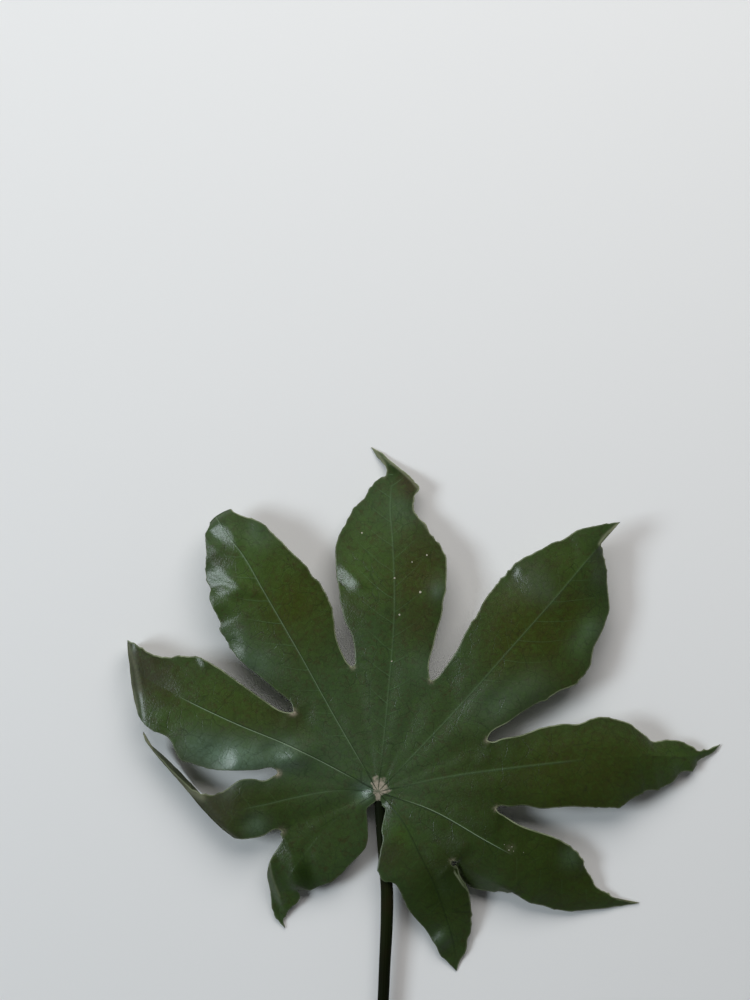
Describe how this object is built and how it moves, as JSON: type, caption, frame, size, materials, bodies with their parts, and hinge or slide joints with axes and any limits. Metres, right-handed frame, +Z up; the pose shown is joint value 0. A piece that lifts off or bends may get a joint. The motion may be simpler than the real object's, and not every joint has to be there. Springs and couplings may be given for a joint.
{
  "type": "preserved aralia leaf",
  "caption": "Dark green, leathery, deeply lobed leaf on its long stalk, preserved to stay supple; lies flat as decoration or goes into a vase or a dried arrangement.",
  "frame": {"origin": "centre of the bounding box at its lowest level, on the surface that the leaf lies on", "axes": "+Y from the stalk's foot towards the tip of the central lobe, +X to the right seen from above, +Z up, out of the blade's upper side"},
  "size_m": [0.2531, 0.3552, 0.0227],
  "materials": {
    "preserved_leaf": "semi-gloss, dark green above, paler and matt beneath"
  },
  "bodies": {
    "root": {"aralia_leaf": "preserved_leaf"}
  },
  "joints": []
}
